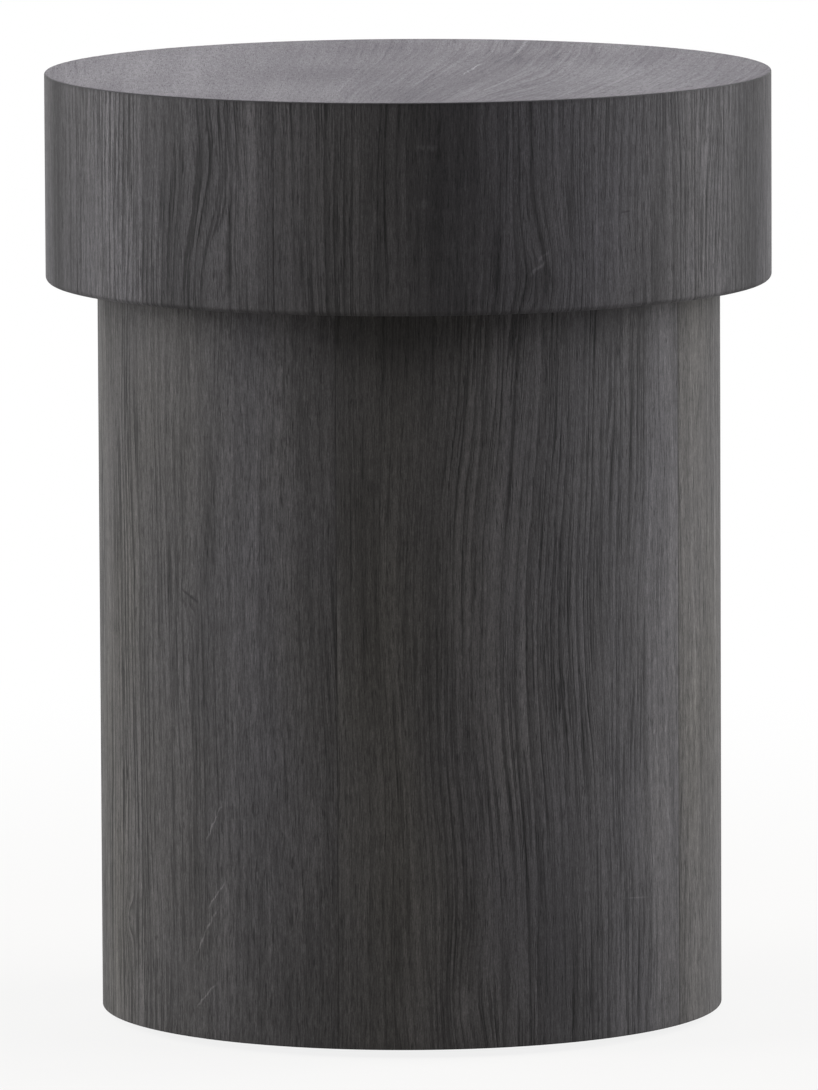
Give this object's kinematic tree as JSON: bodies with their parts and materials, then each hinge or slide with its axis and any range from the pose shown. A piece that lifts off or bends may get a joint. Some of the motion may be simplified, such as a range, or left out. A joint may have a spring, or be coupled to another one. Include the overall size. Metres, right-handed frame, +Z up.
{
  "type": "round side table",
  "caption": "Round side table: a wide veneered drum top bolted on a narrower hollow drum base that stands on screw levellers.",
  "frame": {"origin": "on the floor, on the table's axis, levellers wound fully in", "axes": "+Z up to the tabletop, -Y towards the picture's camera, +X to the picture's right"},
  "size_m": [0.457, 0.457, 0.597],
  "materials": {
    "oak_veneer": "open-grain dark stained oak, matt",
    "bent_ply": "bending plywood, bare",
    "stained_fibreboard": "fibreboard, stained dark",
    "fibreboard": "fibreboard, bare",
    "pine": "planed softwood, bare",
    "beech": "turned beech",
    "zinc_steel": "bright zinc plate",
    "screw_steel": "yellow zinc plate",
    "stem_steel": "bright zinc plate",
    "nylon": "black nylon"
  },
  "bodies": {
    "table": {"top_face_veneer": "oak_veneer", "drum_veneer_leaf_1": "oak_veneer", "drum_veneer_leaf_2": "oak_veneer", "drum_veneer_leaf_3": "oak_veneer", "drum_veneer_leaf_4": "oak_veneer", "drum_veneer_leaf_5": "oak_veneer", "base_veneer_leaf_1": "oak_veneer", "base_veneer_leaf_2": "oak_veneer", "base_veneer_leaf_3": "oak_veneer", "base_veneer_leaf_4": "oak_veneer", "base_veneer_leaf_5": "oak_veneer", "drum_hoop": "bent_ply", "base_shell_front": "bent_ply", "base_shell_rear": "bent_ply", "drum_floor_panel": "stained_fibreboard", "base_foot_ring": "stained_fibreboard", "top_panel": "fibreboard", "base_top_plate": "fibreboard", "base_mid_ring": "fibreboard", "drum_rib_long": "fibreboard", "drum_rib_cross": "fibreboard", "base_batten_1": "pine", "base_batten_2": "pine", "base_batten_3": "pine", "base_batten_4": "pine", "locating_dowels": "beech", "drum_bolts": "zinc_steel", "bolt_washers": "zinc_steel", "bolt_inserts": "zinc_steel", "leveller_inserts": "zinc_steel", "batten_screws_top": "screw_steel", "batten_screws_bottom": "screw_steel", "rib_screws": "screw_steel"},
    "leveller_1_pad": {"leveller_pad_1": "nylon"},
    "leveller_1_stem": {"leveller_stem_1": "stem_steel"},
    "leveller_2_pad": {"leveller_pad_2": "nylon"},
    "leveller_2_stem": {"leveller_stem_2": "stem_steel"},
    "leveller_3_pad": {"leveller_pad_3": "nylon"},
    "leveller_3_stem": {"leveller_stem_3": "stem_steel"},
    "leveller_4_pad": {"leveller_pad_4": "nylon"},
    "leveller_4_stem": {"leveller_stem_4": "stem_steel"}
  },
  "joints": [
    {"name": "leveller_1_height", "type": "slide", "parent": "table", "child": "leveller_1_pad", "axis": [0, 0, -1], "range_m": [0, 0.012]},
    {"name": "leveller_1_turn", "type": "hinge", "parent": "leveller_1_pad", "child": "leveller_1_stem", "pos_m": [0.10741, 0.10741, 0], "axis": [0, 0, -1], "range_deg": [0, 3460]},
    {"name": "leveller_2_height", "type": "slide", "parent": "table", "child": "leveller_2_pad", "axis": [0, 0, -1], "range_m": [0, 0.012]},
    {"name": "leveller_2_turn", "type": "hinge", "parent": "leveller_2_pad", "child": "leveller_2_stem", "pos_m": [-0.10741, 0.10741, 0], "axis": [0, 0, -1], "range_deg": [0, 3460]},
    {"name": "leveller_3_height", "type": "slide", "parent": "table", "child": "leveller_3_pad", "axis": [0, 0, -1], "range_m": [0, 0.012]},
    {"name": "leveller_3_turn", "type": "hinge", "parent": "leveller_3_pad", "child": "leveller_3_stem", "pos_m": [-0.10741, -0.10741, 0], "axis": [0, 0, -1], "range_deg": [0, 3460]},
    {"name": "leveller_4_height", "type": "slide", "parent": "table", "child": "leveller_4_pad", "axis": [0, 0, -1], "range_m": [0, 0.012]},
    {"name": "leveller_4_turn", "type": "hinge", "parent": "leveller_4_pad", "child": "leveller_4_stem", "pos_m": [0.10741, -0.10741, 0], "axis": [0, 0, -1], "range_deg": [0, 3460]}
  ],
  "couplings": [
    {"joint": "leveller_1_turn", "follows": "leveller_1_height", "rad_per_m": 5026.5},
    {"joint": "leveller_2_turn", "follows": "leveller_2_height", "rad_per_m": 5026.5},
    {"joint": "leveller_3_turn", "follows": "leveller_3_height", "rad_per_m": 5026.5},
    {"joint": "leveller_4_turn", "follows": "leveller_4_height", "rad_per_m": 5026.5}
  ]
}
